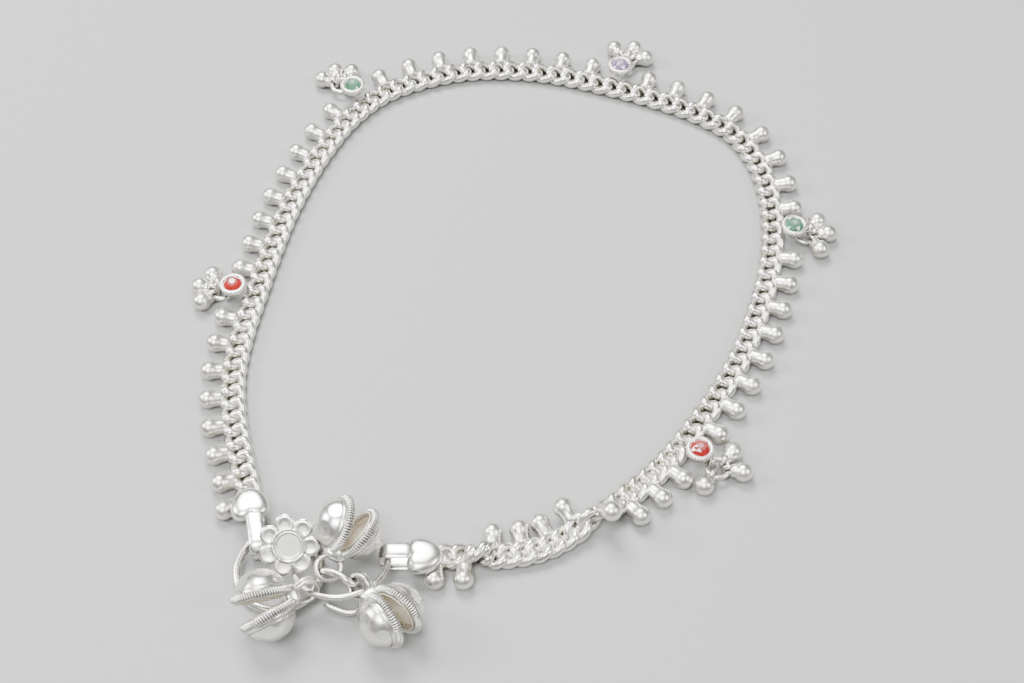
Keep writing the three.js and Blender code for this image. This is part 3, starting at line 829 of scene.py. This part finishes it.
def knocked(grid):
    """Shallow knocks: each draws the wall in by a flat-topped bell curve of the distance from it."""
    inwards = unit(KNOCK_AIM - grid)
    moved = grid
    for around, rise, width, depth in CUP_KNOCKS:
        rise = np.radians(rise)
        level = BELL_CUP_RADIUS * np.cos(rise)
        height = BELL_CUP_DEPTH * np.sin(rise) + KNOCK_LIFT
        spot = np.array([level * np.cos(around), level * np.sin(around), height])
        far = np.linalg.norm(grid - spot, axis=-1, keepdims=True) / width
        moved = moved + inwards * depth * np.exp(-((far * KNOCK_EDGE) ** 4))
    return moved


def cup_bowl():
    """The matte inside of a cup: a thin skin just proud of the cup's inner wall."""
    a = np.linspace(0, np.pi / 2, 16)[:-1]

    def wall(offset):
        return np.stack([(INSIDE_DEPTH + offset) * np.sin(a), (INSIDE_RADIUS + offset) * np.cos(a)], -1)

    front = wall(-BOWL_SKIN)[::-1]
    back = wall(BOWL_SKIN)
    profile = [(INSIDE_DEPTH - BOWL_SKIN, POLE), *front, *back, (INSIDE_DEPTH + BOWL_SKIN, POLE)]
    return own_turned(profile, 64)


def milled_rim():
    """The rim, and its painted shade: a ring whose section swells and shrinks into slanting ridges.

    The ridge is a cosine of the turn and of the way round the section, made narrow in its valleys.
    Valleys are deepest and darkest with painted shade on the ring's outer side.
    """
    rows = RIM_TEETH * ROWS_PER_TOOTH
    a = (np.arange(rows) / rows * TURN)[:, None]
    b = np.arange(16) / 16 * TURN
    ridge = np.cos(RIM_TEETH * a + VALLEY_SLANT * np.sin(b))
    valley = (0.5 * (1 - ridge)) ** VALLEY_POWER
    outer = np.clip(np.cos(b) * 0.9 + 0.35, 0, 1)
    half = BELL_RIM_HEIGHT / 2
    size = half - VALLEY_DEPTH * valley * (0.3 + 0.7 * outer)
    reach = BELL_RIM_RADIUS - half + size * np.cos(b)
    grid = np.stack([reach * np.cos(a), reach * np.sin(a), half + size * np.sin(b)], -1)
    return grid, VALLEY_PAINTED_SHADE * valley * outer


def bell_pieces(name, bail_place, turn, dip, lean, gape, facing):
    """A split bell: two cups with milled rims and matte bowls, a bail and a neck."""
    turn, dip, lean = np.radians([turn, dip, lean])
    right, up = np.cos(turn), np.sin(turn)
    axis = view_vector(right * np.cos(dip), up * np.cos(dip), np.sin(dip))
    bulge = square_to(view_vector(-up * np.cos(lean), right * np.cos(lean), np.sin(lean)), axis)
    side = np.cross(bulge, axis)
    bail_place = np.array(bail_place)
    middle = bail_place + axis * BAIL_REACH

    def both(grid):
        return [on_axes(tilt_cup(grid, face, gape), middle, axis, side, bulge)[None] for face in (1, -1)]

    dome, cut = cup_dome()
    rim, valley = milled_rim()
    skin(f"{name}_cups", both(dome), POLISHED_SILVER, [name], painted_shade=[cut, cut])
    skin(f"{name}_bowls", both(cup_bowl()), BOWL_SILVER, [name])
    skin(f"{name}_rims", both(rim), MILLED_SILVER, [name], True, painted_shade=[valley, valley])

    face_way = square_to(view_vector(*facing), axis)
    band, groove = grooved_bail()
    band = on_axes(band, bail_place, axis, np.cross(face_way, axis), face_way)
    skin(f"{name}_bail", [band[None]], RING_SILVER, [name], True, [groove])
    neck = on_axes(soldered_neck(), middle, axis, side, bulge)
    skin(f"{name}_neck", [neck[None]], POLISHED_SILVER, [name])


def grooved_bail():
    """The bail, and its painted shade: a band of two wires side by side, with a groove between them.

    Its section is an oval pinched at the middle of its width.
    """
    a = np.arange(28) / 28 * TURN
    pinch = swell(np.sin(a), 0, GROOVE_WIDTH)
    wire = BAIL_WIRE - GROOVE_DEPTH * pinch
    reach = BAIL_RADIUS - BAIL_WIRE + wire * signed_power(np.cos(a), 0.6)
    along = BAIL_WIDTH / 2 * signed_power(np.sin(a), 0.9)
    t = (np.arange(BAIL_ROWS) / BAIL_ROWS * TURN)[:, None]
    band = np.stack([np.cos(t) * reach, np.sin(t) * reach, along + 0 * t], -1)
    return band, GROOVE_PAINTED_SHADE * pinch * np.ones((BAIL_ROWS, 1))


def soldered_neck():
    """The neck: a rounded block, an oval body with powers of its sines and cosines."""
    a = np.linspace(-np.pi / 2, np.pi / 2, 18)[1:-1, None]
    b = np.arange(28)[None] / 28 * TURN
    waves = (np.cos(a), np.sin(a), np.cos(b), np.sin(b))
    cos_a, sin_a, cos_b, sin_b = [signed_power(wave, BELL_NECK_POWER) for wave in waves]
    half_x, half_y, half_z = BELL_NECK_HALVES
    x = -BELL_RIM_RADIUS + BELL_NECK_SINK + half_x * cos_a * cos_b
    y = half_y * cos_a * sin_b
    z = half_z * sin_a + 0 * b
    return np.stack([x, y, z], -1)


for bell in BELLS:
    bell_pieces(*bell)


# End plates


def bezier(a, b, c, d, steps):
    """Points of a cubic Bezier curve, without its last."""
    t = np.linspace(0, 1, steps, endpoint=False)[:, None]
    a, b, c, d = [np.array(p, float) for p in (a, b, c, d)]
    return a * (1 - t) ** 3 + 3 * b * t * (1 - t) ** 2 + 3 * c * t**2 * (1 - t) + d * t**3


def heart():
    """Puffed heart: its outline drawn in towards its middle as the top and the bottom rise and fall."""
    outline = np.vstack([bezier(*curve, 16) for curve in HEART_CURVES])
    a = np.concatenate([np.linspace(-np.pi / 2, 0, 8)[1:], np.linspace(0, np.pi / 2, 16)[1:-1]])
    shrink = np.where(a < 0, np.cos(a) ** 0.35, np.cos(a) ** 0.5)
    above = (HEART_THICK - HEART_BELOW_EDGE) * np.abs(np.sin(a)) ** 0.9
    height = np.where(a < 0, HEART_BELOW_EDGE * np.sin(a), above) + HEART_BELOW_EDGE + HEART_LIFT
    flat = HEART_MIDDLE + (outline - HEART_MIDDLE) * shrink[:, None, None]
    return np.concatenate([flat, np.ones((len(a), len(outline), 1)) * height[:, None, None]], -1)


def strap(ahead, aside, length):
    """Strap: a rounded flat section carried round a long loop that stands on its edge."""
    h = STRAP_HEIGHT / 2 - STRAP_WALL / 2
    start, stop = ahead + STRAP_HEIGHT / 2, ahead + length - STRAP_HEIGHT / 2
    near = np.linspace(np.pi / 2, np.pi * 1.5, STRAP_TURN_ROWS)
    far = np.linspace(-np.pi / 2, np.pi / 2, STRAP_TURN_ROWS)
    turn = np.concatenate([near, far])
    middle = np.repeat([start, stop], STRAP_TURN_ROWS)
    normal = np.stack([np.cos(turn), 0 * turn, np.sin(turn)], -1)
    line = np.stack([middle, 0 * turn + aside, 0 * turn + STRAP_HEIGHT / 2], -1) + normal * h
    c = np.arange(20) / 20 * TURN
    thick = STRAP_WALL / 2 * np.where(np.cos(c) > 0, 1.0, STRAP_INNER_SHARE) * np.cos(c)
    wide = STRAP_WIDTH / 2 * signed_power(np.sin(c), 0.8)
    return line[:, None] + thick[:, None] * normal[:, None] + wide[:, None] * np.array([0.0, 1.0, 0.0])


def end_plate(name, place, heading, ahead, aside, length):
    """A heart and its strap, turned to the plate's heading."""
    along = turn_about_up(VIEW_RIGHT, heading)
    across = np.cross(UP, along)
    place = np.array([*place, 0.0])
    for part, grid, closed in (("heart", heart(), False), ("strap", strap(ahead, aside, length), True)):
        grid = on_axes(grid, place, along, across, UP)
        skin(f"{name}_{part}", [grid[None]], POLISHED_SILVER, [name], closed)


for plate in END_PLATES:
    end_plate(*plate)


# Clasp


def sloped_ring(middle, radius, wire, slope):
    """A round ring whose plane rises by a slope to the right and another away."""
    facing = unit(np.array([-slope[0], -slope[1], 1.0]))
    x = unit(np.array([1.0, 0.0, slope[0]]))
    return ring(np.array(middle), x, np.cross(facing, x), radius, wire, 96, 14)


def open_tube(line, radius, sides):
    """A wire along an open line, with rounded ends."""
    ahead = unit(np.gradient(line, axis=0))
    across = square_to(np.broadcast_to(HOOK_FACING, line.shape), ahead)
    third = np.cross(ahead, across)
    count = len(line)
    away = np.minimum(np.arange(count), np.arange(count)[::-1])
    rounding = np.clip((away + HOOK_END_START) / HOOK_END_ROWS, 0, 1)
    size = radius * np.sqrt(1 - (1 - rounding) ** 2)
    a = np.arange(sides) / sides * TURN
    circle = np.cos(a)[:, None] * across[:, None] + np.sin(a)[:, None] * third[:, None]
    return (line[:, None] + size[:, None, None] * circle)[None]


def flower():
    """Flower, and its painted shade: rows go from the top's middle out over the petals, and back under.

    Round the turn, each petal's edge is where a ray leaves its circle. The top's height is a plate
    with two raised rims, a dome on each petal and a dimple in each dome.
    """
    a = (np.arange(FLOWER_SIDES) / FLOWER_SIDES * TURN)[None]
    wide = TURN / FLOWER_PETALS
    off = (a + wide / 2) % wide - wide / 2
    edge = PETAL_REACH * np.cos(off) + np.sqrt(PETAL_RADIUS**2 - (PETAL_REACH * np.sin(off)) ** 2)
    inner = np.linspace(POLE, FLOWER_PLATE, 26)[:, None] + 0 * a
    part = np.sin(np.linspace(0, np.pi / 2, 26))[1:, None]
    outer = FLOWER_PLATE * (1 - part) + edge * part
    r = np.concatenate([inner, outer])
    away = np.sqrt((r * np.cos(off) - PETAL_REACH) ** 2 + (r * np.sin(off)) ** 2) / PETAL_RADIUS
    dimple = np.exp(-((away / DIMPLE_WIDTH) ** 4))
    dome = PETAL_DOME * np.clip(1 - away**6, 0, 1) - DIMPLE_DEPTH * dimple
    rims = sum(height * swell(r, middle, width) for middle, width, height in FLOWER_RIMS)
    groove = sum(swell(r, middle, width) for middle, width in FLOWER_GROOVES)
    top = FLOWER_TOP + np.where(r > FLOWER_DISC, dome, 0) + rims
    back = np.linspace(0.98, 0.02, 14)[:, None]
    under = FLOWER_BACK_RISE * back**4 + 0 * a
    reach = np.concatenate([r, back * edge])
    height = np.concatenate([top, under])
    own = np.stack([reach * np.cos(a + FIRST_PETAL), reach * np.sin(a + FIRST_PETAL), height], -1)
    # Painted shade on the bare disc, the petals' dimples and the grooves
    sunk = FLOWER_PAINTED_SHADE * np.where(r > FLOWER_DISC, dimple, r < BARE_DISC)
    hollow = np.concatenate([np.clip(FLOWER_GROOVE_PAINTED_SHADE * groove + sunk, 0, 1), 0 * under])
    return on_axes(own, FLOWER_PLACE, VIEW_RIGHT, VIEW_UP, VIEW_EYE)[None], hollow


def flower_post():
    """A post from the ring up into the flower's back."""
    middle, radius, _, slope = CLASP_RING
    east, north = radius * np.cos(FLOWER_POST_TURN), radius * np.sin(FLOWER_POST_TURN)
    low = middle[2] + east * slope[0] + north * slope[1]
    x, y = middle[0] + east, middle[1] + north
    high = FLOWER_PLACE[2] + (y - FLOWER_PLACE[1]) * (-VIEW_EYE[1] / VIEW_EYE[2]) + FLOWER_THICK / 2
    profile = [(0, FLOWER_POST_RADIUS * FLOWER_POST_FOOT), (high - low, FLOWER_POST_RADIUS)]
    return turned(profile, np.array([x, y, low]), UP, 20)


CLASP_NODE = ["flower_clasp_ring"]
skin("clasp_ring", [sloped_ring(*CLASP_RING)], RING_SILVER, CLASP_NODE, True)
skin("flower_post", [flower_post()], RING_SILVER, CLASP_NODE)
blossom, blossom_hollow = flower()
skin("flower", [blossom], MILLED_SILVER, CLASP_NODE, painted_shade=[blossom_hollow])
skin("second_ring", [sloped_ring(*LINK_RING)], RING_SILVER, ["link_ring"], True)
hook = open_tube(rounded_line(HOOK, 10, False), HOOK_WIRE, 14)
skin("hook_wire", [hook], RING_SILVER, ["clasp_hook"])


# Floor, light and camera


def stage():
    """A pale floor, four soft lamps and a pale world."""
    bpy.ops.mesh.primitive_plane_add(size=FLOOR_SIZE, location=(0, 0, 0))
    floor = bpy.context.object
    floor.name = "floor"
    floor.data.materials.append(shader("floor_pale", FLOOR_TONE, 0.8, 0.0))
    for name, place, size, watts in LAMPS:
        lamp = bpy.data.lights.new(name, "AREA")
        lamp.size = size
        lamp.energy = watts
        obj = bpy.data.objects.new(name, lamp)
        obj.location = place
        obj.rotation_euler = (-Vector(place)).to_track_quat("-Z", "Y").to_euler()
        bpy.context.scene.collection.objects.link(obj)
    world = bpy.data.worlds.new("studio")
    world.use_nodes = True
    world.node_tree.nodes["Background"].inputs["Color"].default_value = (1, 1, 1, 1)
    world.node_tree.nodes["Background"].inputs["Strength"].default_value = WORLD_STRENGTH
    bpy.context.scene.world = world


def photo_camera():
    """The camera at the photograph's distance, height and lens."""
    data = bpy.data.cameras.new("photo_camera")
    data.lens = LENS
    data.sensor_width = 36
    data.clip_start = 0.01
    camera = bpy.data.objects.new("photo_camera", data)
    target = LOOK_AT - BOX_MIDDLE
    camera.location = Vector((target + VIEW_EYE * CAMERA_AWAY) * MM)
    axes = Matrix([VIEW_RIGHT, VIEW_UP, VIEW_EYE]).transposed()
    camera.rotation_euler = axes.to_euler()
    bpy.context.scene.collection.objects.link(camera)
    bpy.context.scene.camera = camera


stage()
photo_camera()
